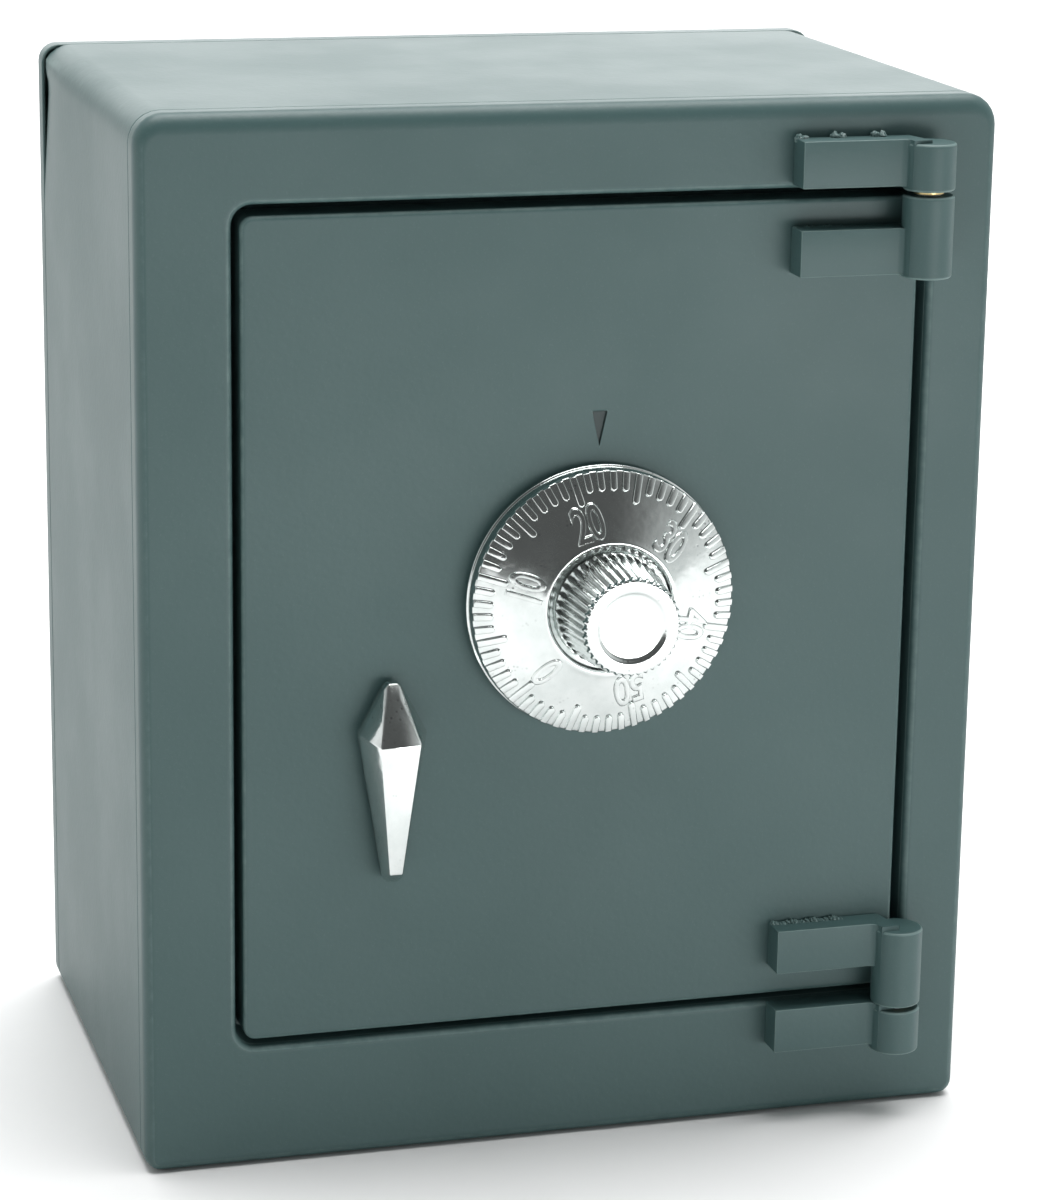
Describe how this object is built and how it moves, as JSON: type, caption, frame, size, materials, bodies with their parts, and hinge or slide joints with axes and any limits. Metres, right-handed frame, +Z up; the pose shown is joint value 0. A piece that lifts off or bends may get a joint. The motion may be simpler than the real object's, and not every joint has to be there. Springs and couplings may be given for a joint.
{
  "type": "small fire-resistant safe",
  "caption": "Small upright fire-resistant safe: side-hung door on external hinges, combination dial, lever handle, bolt work and insulated walls.",
  "frame": {"origin": "middle of the flat bottom of the body, half way between the front face and the back of the rear cover", "axes": "+X to the right seen from the front, +Y from the front face towards the back, +Z up"},
  "size_m": [0.27, 0.2188, 0.331],
  "materials": {
    "paint": "satin grey-green enamel with a fine orange peel",
    "plated": "bright nickel-chrome plating",
    "steel": "bare machined steel",
    "zinc": "clear zinc-plated steel",
    "brass": "turned brass",
    "fire_fill": "cast mineral fire filling",
    "seal": "matt intumescent rubber strip"
  },
  "bodies": {
    "body": {"outer_shell": "paint", "jamb_frame": "paint", "inner_liner": "paint", "bolt_keeper": "steel", "body_insulation": "fire_fill", "rear_insulation": "fire_fill", "rear_cover": "paint", "rear_cover_screw_1": "zinc", "rear_cover_screw_2": "zinc", "rear_cover_screw_3": "zinc", "rear_cover_screw_4": "zinc", "hinge_upper_frame_leaf": "paint", "hinge_lower_frame_leaf": "paint", "hinge_upper_pin": "steel", "hinge_lower_pin": "steel", "hinge_upper_washer": "brass", "hinge_lower_washer": "brass"},
    "door": {"door_plate": "paint", "door_insulation": "fire_fill", "door_back_plate": "paint", "door_seal": "seal", "boltwork_cover": "paint", "boltwork_cover_screw_1": "zinc", "boltwork_cover_screw_2": "zinc", "boltwork_cover_screw_3": "zinc", "boltwork_cover_screw_4": "zinc", "hinge_upper_door_leaf": "paint", "hinge_lower_door_leaf": "paint", "stud_bar": "steel", "fixed_stud_lower": "steel", "fixed_stud_upper": "steel", "lock_case": "zinc", "lock_cover": "zinc", "lock_cover_screw_1": "zinc", "lock_cover_screw_2": "zinc", "dial_spindle_tube": "brass", "handle_bush": "brass", "bar_guide_stud_upper": "steel", "bar_guide_stud_lower": "steel"},
    "dial": {"dial": "plated", "dial_knob": "plated", "dial_spindle": "steel", "drive_cam": "brass"},
    "wheel_1": {"combination_wheel_1": "brass"},
    "wheel_2": {"combination_wheel_2": "brass"},
    "wheel_3": {"combination_wheel_3": "brass"},
    "handle": {"handle_lever": "plated", "handle_spindle": "steel", "handle_crank": "steel"},
    "bolts": {"bolt_bar": "steel", "locking_bolt_upper": "plated", "locking_bolt_middle": "plated", "locking_bolt_lower": "plated", "locking_bolt_screw_upper": "zinc", "locking_bolt_screw_middle": "zinc", "locking_bolt_screw_lower": "zinc"},
    "lock_bolt": {"lock_bolt": "brass", "lever_pivot_screw": "steel"},
    "lever": {"fence_lever": "steel", "lever_spring": "steel"}
  },
  "joints": [
    {"name": "door_swing", "type": "hinge", "parent": "body", "child": "door", "pos_m": [0.10905, -0.0995, 0.17], "axis": [0, 0, 1], "range_deg": [0, 180]},
    {"name": "dial_spin", "type": "hinge", "parent": "door", "child": "dial", "pos_m": [0.008, -0.0905, 0.1785], "axis": [0, 1, 0], "continuous": true},
    {"name": "wheel_1_spin", "type": "hinge", "parent": "door", "child": "wheel_1", "pos_m": [0.008, -0.0905, 0.1785], "axis": [0, 1, 0], "continuous": true},
    {"name": "wheel_2_spin", "type": "hinge", "parent": "door", "child": "wheel_2", "pos_m": [0.008, -0.0905, 0.1785], "axis": [0, 1, 0], "continuous": true},
    {"name": "wheel_3_spin", "type": "hinge", "parent": "door", "child": "wheel_3", "pos_m": [0.008, -0.0905, 0.1785], "axis": [0, 1, 0], "continuous": true},
    {"name": "handle_turn", "type": "hinge", "parent": "door", "child": "handle", "pos_m": [-0.058, -0.0905, 0.141], "axis": [0, 1, 0], "range_deg": [0, 60]},
    {"name": "bolt_slide", "type": "slide", "parent": "door", "child": "bolts", "axis": [-1, 0, 0], "range_m": [0, 0.014]},
    {"name": "lock_bolt_slide", "type": "slide", "parent": "door", "child": "lock_bolt", "axis": [0, 0, -1], "range_m": [0, 0.008]},
    {"name": "fence_swing", "type": "hinge", "parent": "lock_bolt", "child": "lever", "pos_m": [-0.0127, -0.06, 0.1507], "axis": [0, -1, 0], "range_deg": [0, 3.5]}
  ],
  "couplings": [
    {"joint": "wheel_1_spin", "follows": "dial_spin", "ratio": 1},
    {"joint": "wheel_2_spin", "follows": "dial_spin", "ratio": 1},
    {"joint": "wheel_3_spin", "follows": "dial_spin", "ratio": 1},
    {"joint": "handle_turn", "follows": "bolt_slide", "rad_per_m": 74.79},
    {"joint": "fence_swing", "follows": "lock_bolt_slide", "rad_per_m": 7.6}
  ]
}
